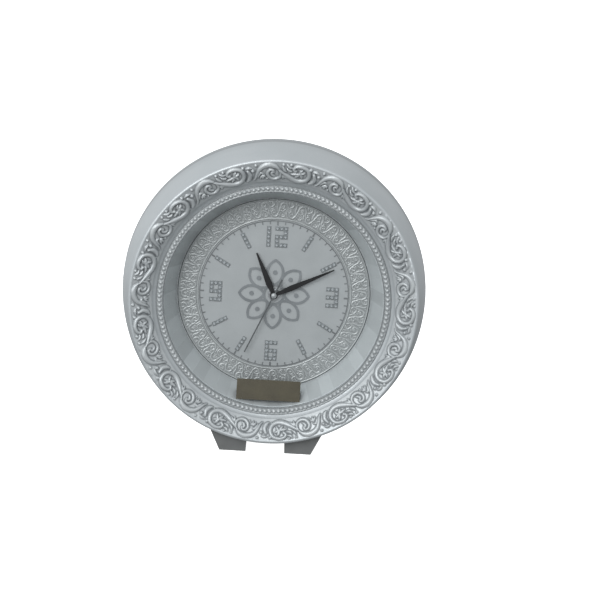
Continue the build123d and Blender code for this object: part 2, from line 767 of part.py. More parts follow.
def rotor_pinion():
    turn = meshed_turn(intermediate_turn, INTERMEDIATE_TEETH, ROTOR_ANGLE, ROTOR_TEETH)
    teeth = pinion(ROTOR_TEETH, rotor_module, turn, INTERMEDIATE_LAYER, rotor_place)
    return teeth + arbor(rotor_place, pivot_back, plate_front - LAYER_PLAY)


def rotor_magnet():
    back = case_inner_back + LAYER_PLAY
    return tube(ROTOR_MAGNET_RADIUS, ARBOR_RADIUS, back, ROTOR_MAGNET_LENGTH, rotor_place)


def intermediate_wheel():
    turn = meshed_turn(seconds_turn, SECONDS_TEETH, INTERMEDIATE_ANGLE, INTERMEDIATE_PINION_TEETH)
    shape = wheel(INTERMEDIATE_TEETH, rotor_module, intermediate_turn, INTERMEDIATE_LAYER, intermediate_place)
    shape += pinion(INTERMEDIATE_PINION_TEETH, seconds_module, turn, SECONDS_LAYER, intermediate_place)
    return shape + arbor(intermediate_place, pivot_back, plate_front - LAYER_PLAY)


def seconds_wheel():
    shape = wheel(SECONDS_TEETH, seconds_module, seconds_turn, SECONDS_LAYER, centre)
    shape += pinion(SECONDS_PINION_TEETH, third_module, seconds_pinion_turn, THIRD_LAYER, centre)
    front = second_hand_back + HAND_COLLAR + HAND_THICKNESS
    return shape + arbor(centre, pivot_back, front, SECONDS_ARBOR_RADIUS)


def third_wheel():
    turn = meshed_turn(seconds_pinion_turn, SECONDS_PINION_TEETH, THIRD_ANGLE, THIRD_TEETH)
    shape = wheel(THIRD_TEETH, third_module, turn, THIRD_LAYER, third_place)
    shape += pinion(THIRD_PINION_TEETH, centre_module, third_pinion_turn, CENTRE_LAYER, third_place)
    return shape + arbor(third_place, pivot_back, pivot_front)


def centre_wheel():
    """The driven wheel that slips on the minute cannon when the hands are set."""
    turn = meshed_turn(third_pinion_turn, THIRD_PINION_TEETH, THIRD_ANGLE + pi, CENTRE_TEETH)
    shape = wheel(CENTRE_TEETH, centre_module, turn, CENTRE_LAYER, centre)
    bore = MINUTE_PIPE_RADIUS + RUNNING_CLEARANCE
    return shape - disc(bore, case_back + CENTRE_LAYER - OVERRUN, WHEEL_THICKNESS + 2 * OVERRUN)


def minute_cannon():
    bore = SECONDS_ARBOR_RADIUS + RUNNING_CLEARANCE
    back = plate_front + LAYER_PLAY / 2
    front = minute_hand_back + HAND_COLLAR + HAND_THICKNESS
    shape = disc(MINUTE_PIPE_RADIUS, back, front - back)
    shape += pinion(CANNON_TEETH, cannon_module, cannon_turn, MOTION_LAYER, centre)
    return shape - disc(bore, back - OVERRUN, front - back + 2 * OVERRUN)


def motion_wheel():
    shape = wheel(MOTION_TEETH, cannon_module, motion_turn, MOTION_LAYER, motion_place)
    back = case_back + MOTION_LAYER
    front = case_back + HOUR_LAYER + WHEEL_THICKNESS + LAYER_PLAY
    outline = gear_outline(MOTION_PINION_TEETH, hour_module, motion_pinion_turn, PINION_TIP_SHARE)
    shape += raised(Pos(*motion_place) * outline, back, front - back)
    bore = ARBOR_RADIUS + RUNNING_CLEARANCE
    return shape - disc(bore, back - OVERRUN, front - back + 2 * OVERRUN, motion_place)


def hour_wheel():
    turn = meshed_turn(motion_pinion_turn, MOTION_PINION_TEETH, MOTION_ANGLE + pi, HOUR_TEETH)
    shape = wheel(HOUR_TEETH, hour_module, turn, HOUR_LAYER, centre)
    back = case_back + HOUR_LAYER
    front = hour_hand_back + HAND_COLLAR + HAND_THICKNESS
    shape += disc(HOUR_PIPE_RADIUS, back, front - back)
    bore = MINUTE_PIPE_RADIUS + RUNNING_CLEARANCE
    return shape - disc(bore, back - OVERRUN, front - back + 2 * OVERRUN)


def setting_knob():
    """The thumb knob behind the case, on an arbor that turns the motion wheel."""
    turn = meshed_turn(motion_turn, MOTION_TEETH, SETTING_ANGLE, SETTING_TEETH)
    outline = gear_outline(SETTING_TEETH, cannon_module, turn, PINION_TIP_SHARE)
    back = case_back - KNOB_LIFT - KNOB_THICKNESS
    shape = raised(Pos(*setting_place) * outline, case_back + MOTION_LAYER, PINION_LENGTH)
    shape += arbor(setting_place, back, pivot_front, SETTING_ARBOR_RADIUS)
    knob = Circle(KNOB_RADIUS)
    for i in range(KNOB_GRIPS):
        knob -= Pos(*on_circle(KNOB_RADIUS, 360 / KNOB_GRIPS * i)) * Circle(KNOB_GRIP_RADIUS)
    return shape + raised(Pos(*setting_place) * knob, back, KNOB_THICKNESS)


# Movement case

cell_centre_z = -half_inside + CELL_RADIUS + CELL_CLEARANCE
bay_top = cell_centre_z + CELL_RADIUS + CELL_CLEARANCE
cell_centre_depth = case_inner_front - CELL_RADIUS - CELL_CLEARANCE
post_places = [
    (side * (PLATE_WIDTH / 2 - POST_RADIUS), z)
    for side in (-1, 1)
    for z in (PLATE_TOP - POST_RADIUS, -PLATE_FOOT + POST_RADIUS)
]


def case_half(back, thickness, plate_depth):
    """An open box with a plate and a wall above the cell bay."""
    shape = block(-half_case, half_case, -half_case, half_case, back, thickness)
    open_back = back + CASE_WALL if plate_depth == back else back - OVERRUN
    open_front = back + thickness + OVERRUN if plate_depth == back else back + thickness - CASE_WALL
    depth = open_front - open_back
    shape -= block(-half_inside, half_inside, -half_inside, bay_top, open_back, depth)
    shape -= block(-half_inside, half_inside, bay_top + CASE_WALL, half_inside, open_back, depth)
    return shape


def movement_base():
    """The front half of the case with the bush, the wheel stud and the posts of the plate."""
    shape = case_half(split_depth, case_front - split_depth, case_front)
    shape += disc(BUSH_RADIUS, case_front - CASE_WALL, bush_front - case_front + CASE_WALL)
    shape -= disc(BUSH_BORE_RADIUS, case_inner_front - OVERRUN, bush_front - case_inner_front + 2 * OVERRUN)
    for place in post_places:
        shape += disc(POST_RADIUS, plate_front, case_front - CASE_WALL / 2 - plate_front, place)
    stud_back = case_back + MOTION_LAYER - LAYER_PLAY
    shape += disc(ARBOR_RADIUS, stud_back, case_front - CASE_WALL / 2 - stud_back, motion_place)
    for place, radius in ((third_place, ARBOR_RADIUS), (setting_place, SETTING_ARBOR_RADIUS)):
        shape -= disc(radius + RUNNING_CLEARANCE, case_inner_front, PIVOT_LENGTH + LAYER_PLAY, place)
    return shape


def movement_cover():
    """The back half of the case with the cell bay left open to the rear."""
    shape = case_half(case_back, CASE_SPLIT, case_back)
    cut_back = case_back - OVERRUN
    cut_depth = CASE_WALL + 2 * OVERRUN
    shape -= block(-half_inside, half_inside, -half_inside, bay_top, cut_back, cut_depth)
    shape -= disc(SETTING_ARBOR_RADIUS + RUNNING_CLEARANCE, cut_back, cut_depth, setting_place)
    pivots = [(place, ARBOR_RADIUS) for place in (third_place, intermediate_place, rotor_place)]
    for place, radius in pivots + [(centre, SECONDS_ARBOR_RADIUS)]:
        depth = PIVOT_LENGTH + LAYER_PLAY
        shape -= disc(radius + RUNNING_CLEARANCE, case_inner_back - depth, depth + OVERRUN, place)
    return shape


def middle_plate():
    shape = block(-PLATE_WIDTH / 2, PLATE_WIDTH / 2, -PLATE_FOOT, PLATE_TOP, plate_back, PLATE_THICKNESS)
    holes = [(place, ARBOR_RADIUS) for place in (third_place, intermediate_place, rotor_place)]
    holes += [(centre, SECONDS_ARBOR_RADIUS), (setting_place, SETTING_ARBOR_RADIUS)]
    for place, radius in holes:
        shape -= disc(radius + RUNNING_CLEARANCE, plate_back - OVERRUN, PLATE_THICKNESS + 2 * OVERRUN, place)
    return shape


def gasket():
    return tube(GASKET_RADIUS, BUSH_RADIUS + BUSH_CLEARANCE, case_front, GASKET_THICKNESS)


def washer():
    return tube(WASHER_RADIUS, BUSH_RADIUS + BUSH_CLEARANCE, DIAL_FRONT, WASHER_THICKNESS)


def fixing_nut():
    outline = RegularPolygon(NUT_RADIUS, 6) - Circle(BUSH_RADIUS)
    return raised(outline, DIAL_FRONT + WASHER_THICKNESS, NUT_THICKNESS)


# Motor, board and cell

stator_right = rotor_place[0] + STATOR_BAR_WIDTH / 2
stator_left = rotor_place[0] - STATOR_BAR_WIDTH / 2
stator_low = rotor_place[1] - STATOR_HEIGHT / 2
stator_high = rotor_place[1] + STATOR_HEIGHT / 2
core_x = stator_right + STATOR_LEG_REACH / 2


def stator():
    back = case_inner_back
    leg_end = stator_right + STATOR_LEG_REACH
    shape = block(stator_left, stator_right, stator_low, stator_high, back, STATOR_THICKNESS)
    shape += block(stator_left, leg_end, stator_low, stator_low + STATOR_LEG_WIDTH, back, STATOR_THICKNESS)
    shape += block(stator_left, leg_end, stator_high - STATOR_LEG_WIDTH, stator_high, back, STATOR_THICKNESS)
    hole = ROTOR_MAGNET_RADIUS + STATOR_GAP
    return shape - disc(hole, back - OVERRUN, STATOR_THICKNESS + 2 * OVERRUN, rotor_place)


def coil_core():
    back = case_inner_back + STATOR_THICKNESS
    half = CORE_WIDTH / 2
    return block(core_x - half, core_x + half, stator_low, stator_high, back, CORE_THICKNESS)


def coil_winding():
    low = stator_low + STATOR_LEG_WIDTH
    high = stator_high - STATOR_LEG_WIDTH
    back = case_inner_back + STATOR_THICKNESS + CORE_THICKNESS / 2 - COIL_THICKNESS / 2
    shape = block(core_x - COIL_WIDTH / 2, core_x + COIL_WIDTH / 2, low, high, back, COIL_THICKNESS)
    return shape - coil_core()


board_left = -half_inside + BOARD_INSET
board_high = half_inside - BOARD_INSET
board_front = case_inner_back + BOARD_THICKNESS


def circuit_board():
    right = board_left + BOARD_WIDTH
    low = board_high - BOARD_HEIGHT
    return block(board_left, right, low, board_high, case_inner_back, BOARD_THICKNESS)


def driver_chip():
    place = (board_left + BOARD_WIDTH / 3, board_high - BOARD_HEIGHT / 2)
    return disc(CHIP_RADIUS, board_front, CHIP_RISE, place)


def quartz_crystal():
    """A small can that lies along the board."""
    x = board_left + BOARD_WIDTH * 2 / 3
    z = board_high - BOARD_HEIGHT / 2 - CRYSTAL_LENGTH / 2
    return Pos(x, -(board_front + CRYSTAL_RADIUS), z) * Cylinder(
        CRYSTAL_RADIUS, CRYSTAL_LENGTH, align=(Align.CENTER, Align.CENTER, Align.MIN)
    )


nub_end = half_inside - CONTACT_THICKNESS
cell_right = nub_end - CELL_NUB_LENGTH
cell_left = cell_right - CELL_LENGTH


def lying(radius, left, right):
    """A round bar along x at the place of the cell."""
    bar = Cylinder(radius, right - left, align=(Align.CENTER, Align.CENTER, Align.MIN))
    return Pos(left, -cell_centre_depth, cell_centre_z) * Rot(0, 90, 0) * bar


def battery():
    return lying(CELL_RADIUS, cell_left, cell_right) + lying(CELL_NUB_RADIUS, cell_left, nub_end)


def contact_plate(left):
    back = cell_centre_depth - CONTACT_WIDTH / 2
    low = cell_centre_z - CONTACT_WIDTH / 2
    return block(left, left + CONTACT_THICKNESS, low, low + CONTACT_WIDTH, back, CONTACT_WIDTH)


def contact_positive():
    return contact_plate(nub_end)


def contact_negative():
    left = -half_inside
    start = left + CONTACT_THICKNESS
    dome = Cone(
        CONTACT_DOME_RADIUS,
        CONTACT_DOME_TIP_RADIUS,
        cell_left - start,
        align=(Align.CENTER, Align.CENTER, Align.MIN),
    )
    return contact_plate(left) + Pos(start, -cell_centre_depth, cell_centre_z) * Rot(0, 90, 0) * dome


# Back cover, hanger and fasteners

hanger_height = RIM_RADIUS - HANGER_INSET


def hanger_outline(hole_radius, slot_radius):
    """A round hole for a screw head with a slot above it for the shank."""
    slot = Pos(0, HANGER_SLOT_RISE / 2) * Rectangle(2 * slot_radius, HANGER_SLOT_RISE)
    end = Pos(0, HANGER_SLOT_RISE) * Circle(slot_radius)
    return Pos(0, hanger_height) * (Circle(hole_radius) + slot + end)


hanger_screw_places = [
    (side * HANGER_SCREW_SPACING / 2, hanger_height + HANGER_SLOT_RISE / 2) for side in (-1, 1)
]


def back_cover():
    outer = RIM_RADIUS - RIM_ROUND - RIM_LAND - COVER_CLEARANCE
    outline = Circle(outer) - Circle(COVER_OPENING_RADIUS)
    outline -= hanger_outline(HANGER_HOLE_RADIUS + HANGER_ROOM, HANGER_SLOT_RADIUS + HANGER_ROOM)
    for x, z in boss_places(COVER_SCREW_CIRCLE, COVER_SCREW_COUNT):
        outline -= Pos(x, z) * Circle(SCREW_RADIUS + SCREW_CLEARANCE)
    for x, z in hanger_screw_places:
        outline -= Pos(x, z) * Circle(SCREW_RADIUS)
    return raised(outline, COVER_BACK, COVER_THICKNESS)


def hanger_plate():
    middle = hanger_height + HANGER_SLOT_RISE / 2
    outline = Pos(0, middle) * Rectangle(HANGER_WIDTH, HANGER_LENGTH)
    outline -= hanger_outline(HANGER_HOLE_RADIUS, HANGER_SLOT_RADIUS)
    for x, z in hanger_screw_places:
        outline -= Pos(x, z) * Circle(SCREW_RADIUS)
    return raised(outline, COVER_BACK - HANGER_THICKNESS, HANGER_THICKNESS)


def screw(seat, bite, head, place):
    """A slotted screw driven forward, its head behind the seat."""
    shape = disc(SCREW_HEAD_RADIUS, seat - head, head, place) + disc(SCREW_RADIUS, seat, bite, place)
    depth = head * SCREW_SLOT_DEPTH / SCREW_HEAD_THICKNESS
    x, z = place
    half_slot = SCREW_SLOT_WIDTH / 2
    reach = SCREW_HEAD_RADIUS + OVERRUN
    cut_back = seat - head - OVERRUN
    return shape - block(x - reach, x + reach, z - half_slot, z + half_slot, cut_back, depth + OVERRUN)


def cover_screws():
    bite = COVER_THICKNESS + SCREW_BITE
    places = boss_places(COVER_SCREW_CIRCLE, COVER_SCREW_COUNT)
    return group(screw(COVER_BACK, bite, SCREW_HEAD_THICKNESS, place) for place in places)


def dial_screws():
    bite = DIAL_THICKNESS + SCREW_BITE
    places = boss_places(DIAL_SCREW_CIRCLE, DIAL_SCREW_COUNT)
    return group(screw(dial_back, bite, SCREW_HEAD_THICKNESS, place) for place in places)


def hanger_screws():
    seat = COVER_BACK - HANGER_THICKNESS
    bite = HANGER_THICKNESS + COVER_THICKNESS + HANGER_SCREW_BITE
    return group(screw(seat, bite, HANGER_SCREW_HEAD, place) for place in hanger_screw_places)


# Feet and card

def flange_core():
    """All that lies inside the flange, for cutting what rests against it."""
    arc = flange_arc(FOOT_CLEARANCE)
    axis_back = at(0, RIM_ROUND)
    axis_front = at(0, CREST_DEPTH - CREST_ROUND)
    return spun([Line(axis_back, arc @ 0), arc, Line(arc @ 1, axis_front), Line(axis_front, axis_back)])


def shelf_feet():
    """Two wedges between the flange and the shelf that the rim also stands on."""
    flare = FOOT_OUTER + FOOT_FLARE
    flare_z = -sqrt(CREST_RADIUS ** 2 - flare ** 2)
    core = flange_core()
    solids = []
    for side in (-1, 1):
        points = [
            (side * FOOT_INNER, -RIM_RADIUS),
            (side * FOOT_OUTER, -RIM_RADIUS),
            (side * flare, flare_z),
            (side * FOOT_INNER, flare_z),
        ]
        outline = make_face(Polyline(*points, close=True))
        solids.append((raised(outline, FOOT_BACK, FOOT_THICKNESS) - core).solid())
    return group(solids)


def pleat_place(share):
    """Depth and height where a card's corner meets the pleats, a share of the way up their slope."""
    depth = DIAL_FRONT + (lip_back - DIAL_FRONT) * share
    radius = REFLECTOR_FOOT_RADIUS + (REFLECTOR_TOP_RADIUS - REFLECTOR_FOOT_RADIUS) * share
    flat = radius * cos(pi / REFLECTOR_SIDES)
    return depth, CARD_STANDOFF - sqrt(flat ** 2 - (CARD_WIDTH / 2) ** 2)


def price_card():
    """A blank card folded along its top, its front leaf leaning back."""
    front_depth, front_z = pleat_place(CARD_FRONT_SHARE)
    rear_depth, rear_z = pleat_place(CARD_REAR_SHARE)
    fold_depth = front_depth - CARD_HEIGHT * sin(CARD_LEAN)
    fold_z = front_z + CARD_HEIGHT * cos(CARD_LEAN)
    points = [
        (front_depth, front_z),
        (fold_depth, fold_z),
        (rear_depth, rear_z),
        (rear_depth + CARD_THICKNESS, rear_z),
        (fold_depth, fold_z - 2 * CARD_THICKNESS),
        (front_depth - CARD_THICKNESS, front_z),
    ]
    side = Plane(origin=(-CARD_WIDTH / 2, 0, 0), x_dir=(0, -1, 0), z_dir=(-1, 0, 0))
    outline = make_face(Polyline(*points, close=True))
    return extrude(side * outline, amount=CARD_WIDTH, dir=(1, 0, 0))


NODES = (
    frame_shell, frieze_ring, bead_ring, reflector_ring,
    dial_plate, dial_band, minute_track, centre_motif, stone_settings, hour_stones,
    hour_hand, minute_hand, second_hand, hand_cap,
    movement_base, movement_cover, middle_plate, gasket, washer, fixing_nut,
    rotor_magnet, rotor_pinion, intermediate_wheel, seconds_wheel, third_wheel, centre_wheel,
    minute_cannon, motion_wheel, hour_wheel, setting_knob,
    stator, coil_core, coil_winding, circuit_board, driver_chip, quartz_crystal,
    battery, contact_positive, contact_negative,
    back_cover, hanger_plate, cover_screws, dial_screws, hanger_screws,
    shelf_feet, price_card,
)

os.makedirs("parts", exist_ok=True)
for make in NODES:
    export_step(make(), f"parts/{make.__name__}.step")
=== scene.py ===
import math

import bpy
import numpy as np
from mathutils import Matrix, Vector


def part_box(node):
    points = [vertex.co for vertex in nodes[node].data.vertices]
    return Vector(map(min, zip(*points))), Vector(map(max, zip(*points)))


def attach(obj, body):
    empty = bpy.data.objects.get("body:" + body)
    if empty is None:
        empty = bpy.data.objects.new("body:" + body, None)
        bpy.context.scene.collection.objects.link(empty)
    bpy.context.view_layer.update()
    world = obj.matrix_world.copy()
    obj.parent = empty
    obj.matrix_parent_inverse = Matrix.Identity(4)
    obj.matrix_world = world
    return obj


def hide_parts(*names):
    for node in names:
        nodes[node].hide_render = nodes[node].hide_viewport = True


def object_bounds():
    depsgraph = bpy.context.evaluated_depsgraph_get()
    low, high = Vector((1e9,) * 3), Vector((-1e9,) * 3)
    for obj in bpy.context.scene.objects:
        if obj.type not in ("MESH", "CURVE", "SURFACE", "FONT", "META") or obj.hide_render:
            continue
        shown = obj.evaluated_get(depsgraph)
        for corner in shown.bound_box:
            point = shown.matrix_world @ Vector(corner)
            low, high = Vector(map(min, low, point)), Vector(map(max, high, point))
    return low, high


# A round silver wall clock. Lengths are in metres, the face looks along -Y, the wall plane is Y = 0.
# The carving is drawn in millimetres and is scaled by MILLIMETRE; headings say which values those are.
MILLIMETRE = 0.001

# Camera
CAMERA_DISTANCE = 1.30
CAMERA_ELEVATION = math.radians(12.5)
CAMERA_ROLL = math.radians(3.3)
CAMERA_LENS = 68.8
CAMERA_SENSOR = 36.0
CAMERA_TARGET = Vector((0.0, -0.030, 0.0))
CAMERA_SHIFT_X = 0.0437
CAMERA_SHIFT_Y = -0.0068

# Bed of the frieze, as in the solid frame
BED_INNER_RADIUS = 0.1342
BED_OUTER_RADIUS = 0.1550
BED_INNER_DEPTH = 0.0652
BED_OUTER_DEPTH = 0.0775
BED_GROUND = 0.00012
BED_EDGE_SINK = 0.0004
BED_BULGE = 0.0010

# Frieze
FRIEZE_REPEATS = 13
FRIEZE_FIRST_ANGLE = math.radians(174.2)
FRIEZE_STEP = 0.0004
FRIEZE_OVERHANG = 0.0024
FRIEZE_WIDTH_SHARE = 0.90
FRIEZE_THICKNESS_SHARE = 1.18

# Drawing of the frieze in millimetres: its length, its middle line from the inner edge, how far
# the surroundings of a place reach, and the depth below them that its hollowness is measured by
FRIEZE_DRAWN_LENGTH = 72.0
FRIEZE_MIDDLE = 14.4
FRIEZE_HOLLOW_SPREAD = 1.0
FRIEZE_HOLLOW_DEPTH = 0.55

# String of beads between two fillets
BEAD_INNER_RADIUS = 0.1222
BEAD_OUTER_RADIUS = 0.1302
BEAD_SEAT_DEPTH = 0.0620
BEAD_BASE = 0.0010
BEAD_RADIUS = 0.0020
BEAD_FILLET = 0.0011
BEAD_FILLET_RISE = 0.0010
BEAD_COUNT = 154
BEAD_STEPS = 16
BEAD_FILLET_STRETCHES = 2
BEAD_GROOVE = 0.0015
BEAD_GROOVE_SHADE = 0.8

# Hollows between the beads, in millimetres as for the frieze
BEAD_HOLLOW_SPREAD = 1.0
BEAD_HOLLOW_DEPTH = 0.6

# Patterned band of the dial
BAND_INNER_RADIUS = 0.0864
BAND_OUTER_RADIUS = 0.1100
BAND_SEAT_DEPTH = 0.0220
BAND_GROUND = 0.0004
BAND_REPEATS = 30
BAND_STEP = 0.0004
# The band's outer edge, lowered and painted in the hollow colour as a painted shadow where it meets the
# pleated ring
BAND_SHADOW = 0.0013
BAND_GROUND_SHADE = 0.48
BAND_THICKNESS_SHARE = 1.3
BAND_FILLET_STRETCHES = 4

# Hollows of the band, in millimetres as for the frieze, and the rise of its main strokes
BAND_HOLLOW_SPREAD = 0.9
BAND_HOLLOW_DEPTH = 0.30
BAND_RISE = 0.75

# Carving: points on each stretch of a stroke, the half width in millimetres below which it gets lower,
# the blur of the surface in steps and its reach in blurs, and where hollowness starts and ends
STROKE_POINTS = 14
FULL_HALF_WIDTH = 1.1
CARVING_BLUR = 0.6
BLUR_REACH = 3
HOLLOW_START_SHARE = 0.12
HOLLOW_LIMIT_SHARE = 0.95

# Pleats, and the share by which each flat's painted shade differs, for the light each flat catches
PLEAT_COUNT = 48
PLEAT_PAINTED_SHADE_SHARE = 0.11

# Places along Y and the painted shade of the frame there, darker toward the wall and darkest 16 mm from it,
# standing in for the shade on the frame's outer side
RIM_PAINTED_SHADES = [(-0.040, 1.0), (-0.022, 0.92), (-0.016, 0.58), (-0.012, 0.74), (0.0, 0.66)]

# Bare steel ends of the cell, the step to its jacket and the shade of the jacket
CELL_END = 0.0020
CELL_STEP = 0.0003
CELL_JACKET_SHADE = 0.10

# Light from the sky: its level from below and from the horizon up, the slope at which the lower level
# is reached, and the share that it gains at the left and loses at the right
SKY_LOW = 0.30
SKY_HIGH = 0.78
SKY_LOW_SLOPE = -0.35
SKY_SIDE_SHARE = 0.18
SKY_COLOUR = (0.97, 0.99, 1.0, 1.0)

# Lamp and backdrop
KEY_PLACE = Vector((-0.9, -2.4, 1.15))
KEY_POWER = 52
KEY_SIZE = 1.9
BACKDROP_GLOW = 1.0
BACKDROP_REACH = 12.0
BACKDROP_WALL = 12.0

# Noise of every finish: detail of its cloud and of its grain, the span of noise in use, the grain's height
CLOUD_DETAIL = 4.0
GRAIN_DETAIL = 3.0
NOISE_SPAN = (0.3, 0.7)
GRAIN_HEIGHT = 0.0004

# Each finish: darker and lighter colour, metallic, lowest and highest roughness,
# scale of its cloud and of its grain, strength of its bump
FINISHES = {
    "silver_paint": ((172, 178, 181), (182, 187, 190), 0.45, (0.40, 0.52), 14, 900, 0.12),
    "patina_silver": ((170, 175, 178), (182, 187, 189), 0.38, (0.40, 0.52), 60, 1200, 0.15),
    "bead_silver": ((176, 181, 183), (190, 194, 196), 0.40, (0.40, 0.52), 80, 1400, 0.12),
    "pleat_silver": ((188, 194, 196), (194, 200, 202), 0.30, (0.30, 0.40), 10, 1400, 0.05),
    "dial_silver": ((154, 159, 161), (161, 166, 168), 0.25, (0.46, 0.58), 30, 2600, 0.10),
    "band_silver": ((170, 175, 176), (182, 187, 188), 0.35, (0.34, 0.48), 90, 2200, 0.20),
    "track_grey": ((104, 108, 110), (120, 124, 126), 0.30, (0.40, 0.50), 80, 2000, 0.10),
    "motif_grey": ((116, 121, 124), (130, 135, 138), 0.30, (0.38, 0.50), 60, 2200, 0.15),
    "setting_grey": ((111, 116, 118), (130, 135, 137), 0.40, (0.30, 0.45), 300, 2500, 0.20),
    "stone": ((172, 178, 182), (200, 205, 208), 0.60, (0.12, 0.24), 900, 3000, 0.05),
    "hand_black": ((20, 21, 23), (30, 31, 33), 0.20, (0.28, 0.40), 200, 3000, 0.06),
    "second_grey": ((78, 82, 84), (94, 98, 100), 0.30, (0.34, 0.46), 200, 3000, 0.06),
    "cap_silver": ((150, 154, 156), (172, 176, 178), 0.50, (0.34, 0.46), 200, 3000, 0.05),
    "case_black": ((18, 18, 19), (27, 27, 28), 0.0, (0.45, 0.62), 90, 2600, 0.30),
    "wheel_white": ((222, 220, 212), (236, 234, 226), 0.0, (0.42, 0.55), 120, 2600, 0.10),
    "brass": ((172, 136, 66), (196, 160, 88), 1.0, (0.22, 0.36), 150, 2600, 0.10),
    "gasket_rubber": ((24, 24, 25), (36, 36, 37), 0.0, (0.70, 0.85), 150, 2600, 0.30),
    "magnet": ((58, 58, 60), (80, 80, 82), 0.70, (0.35, 0.50), 300, 2600, 0.20),
    "steel": ((150, 153, 156), (178, 181, 184), 1.0, (0.24, 0.40), 150, 2600, 0.15),
    "copper": ((150, 74, 34), (186, 100, 52), 1.0, (0.25, 0.40), 400, 3200, 0.35),
    "board_green": ((22, 74, 40), (34, 94, 52), 0.0, (0.35, 0.50), 200, 2600, 0.15),
    "chip_black": ((14, 14, 15), (24, 24, 25), 0.0, (0.20, 0.35), 300, 2600, 0.10),
    "cell_jacket": ((150, 156, 170), (168, 174, 188), 0.60, (0.25, 0.36), 60, 2600, 0.05),
    "cover_grey": ((52, 54, 56), (66, 68, 70), 0.0, (0.50, 0.66), 40, 1800, 0.30),
    # Dark grey of the feet, a painted shadow: the feet stand where the clock's shadow falls below it
    "foot_grey": ((92, 94, 94), (104, 106, 106), 0.0, (0.50, 0.64), 60, 1800, 0.25),
    "card_brown": ((51, 46, 29), (63, 58, 39), 0.10, (0.46, 0.60), 50, 1500, 0.12),
    "backdrop": ((247, 247, 247), (250, 250, 250), 0.0, (0.70, 0.80), 3, 200, 0.02),
}

# Colour in the hollows of the carved finishes, also the painted shadow at the band's outer edge, and the
# clear coat of the stones
PATINA_AND_SHADOW_COLOURS = {"patina_silver": (112, 116, 119), "bead_silver": (116, 121, 123), "band_silver": (84, 88, 90)}
COATS = {"stone": 0.3}

# The nodes that keep their solid shape, by finish
FINISHED_NODES = {
    "silver_paint": ["frame_shell"],
    "pleat_silver": ["reflector_ring"],
    "dial_silver": ["dial_plate"],
    "track_grey": ["minute_track"],
    "motif_grey": ["centre_motif"],
    "setting_grey": ["stone_settings"],
    "stone": ["hour_stones"],
    "hand_black": ["hour_hand", "minute_hand"],
    "second_grey": ["second_hand"],
    "cap_silver": ["hand_cap"],
    "case_black": ["movement_base", "movement_cover"],
    "wheel_white": [
        "middle_plate", "rotor_pinion", "intermediate_wheel", "seconds_wheel", "third_wheel",
        "motion_wheel", "hour_wheel", "setting_knob",
    ],
    "brass": ["centre_wheel", "minute_cannon"],
    "gasket_rubber": ["gasket"],
    "magnet": ["rotor_magnet"],
    "steel": [
        "washer", "fixing_nut", "stator", "coil_core", "quartz_crystal", "contact_positive",
        "contact_negative", "hanger_plate", "cover_screws", "dial_screws", "hanger_screws",
    ],
    "copper": ["coil_winding"],
    "board_green": ["circuit_board"],
    "chip_black": ["driver_chip"],
    "cell_jacket": ["battery"],
    "cover_grey": ["back_cover"],
    # The feet carry a painted shadow in their dark grey
    "foot_grey": ["shelf_feet"],
    "card_brown": ["price_card"],
}

# Sockets of a colour mix node: its first colour, its second colour and its result
MIX_FIRST = 6
MIX_SECOND = 7
MIX_RESULT = 2

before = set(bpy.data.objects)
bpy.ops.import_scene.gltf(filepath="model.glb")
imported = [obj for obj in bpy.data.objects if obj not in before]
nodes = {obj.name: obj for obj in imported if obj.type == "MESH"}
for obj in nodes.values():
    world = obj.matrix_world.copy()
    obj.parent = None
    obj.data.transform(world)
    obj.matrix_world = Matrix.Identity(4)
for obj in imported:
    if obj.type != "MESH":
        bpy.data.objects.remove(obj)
cad_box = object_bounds()
floor_height = cad_box[0][2]

bed_run = BED_OUTER_RADIUS - BED_INNER_RADIUS
bed_climb = BED_OUTER_DEPTH - BED_INNER_DEPTH
bed_width = math.hypot(bed_run, bed_climb)

cell_low, cell_high = (corner[0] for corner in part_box("battery"))
cell_shades = [
    (cell_low, 1.0),
    (cell_low + CELL_END, 1.0),
    (cell_low + CELL_END + CELL_STEP, CELL_JACKET_SHADE),
    (cell_high - CELL_END - CELL_STEP, CELL_JACKET_SHADE),
    (cell_high - CELL_END, 1.0),
    (cell_high, 1.0),
]

# Finishes that change along an axis, a painted shade on the frame and the steel ends and jacket on the cell,
# and those with a painted shade for each flat
banded = {"silver_paint": ("Y", RIM_PAINTED_SHADES), "cell_jacket": ("X", cell_shades)}
painted_facet_shades = {"pleat_silver": (PLEAT_COUNT, PLEAT_PAINTED_SHADE_SHARE)}


# Finishes

def tone(red, green, blue):
    """A colour read from the eye's 0 to 255 scale, as the shader's linear values."""
    linear = []
    for value in (red, green, blue):
        share = value / 255
        linear.append(share / 12.92 if share <= 0.04045 else ((share + 0.055) / 1.055) ** 2.4)
    return (*linear, 1.0)


def add_noise(tree, place, scale, detail):
    texture = tree.nodes.new("ShaderNodeTexNoise")
    texture.inputs["Scale"].default_value = scale
    texture.inputs["Detail"].default_value = detail
    tree.links.new(place, texture.inputs["Vector"])
    return texture.outputs["Fac"]


def add_range(tree, value, source, target):
    """Maps a value from one span to another."""
    mapped = tree.nodes.new("ShaderNodeMapRange")
    mapped.inputs["From Min"].default_value = source[0]
    mapped.inputs["From Max"].default_value = source[1]
    mapped.inputs["To Min"].default_value = target[0]
    mapped.inputs["To Max"].default_value = target[1]
    tree.links.new(value, mapped.inputs["Value"])
    return mapped.outputs["Result"]


def add_ramp(tree, value, stops):
    """A colour that follows a value; each stop is a value and its colour."""
    ramp = tree.nodes.new("ShaderNodeValToRGB")
    elements = ramp.color_ramp.elements
    while len(elements) < len(stops):
        elements.new(1.0)
    for element, (position, colour) in zip(elements, stops):
        element.position = position
        element.color = colour
    tree.links.new(value, ramp.inputs["Fac"])
    return ramp.outputs["Color"]


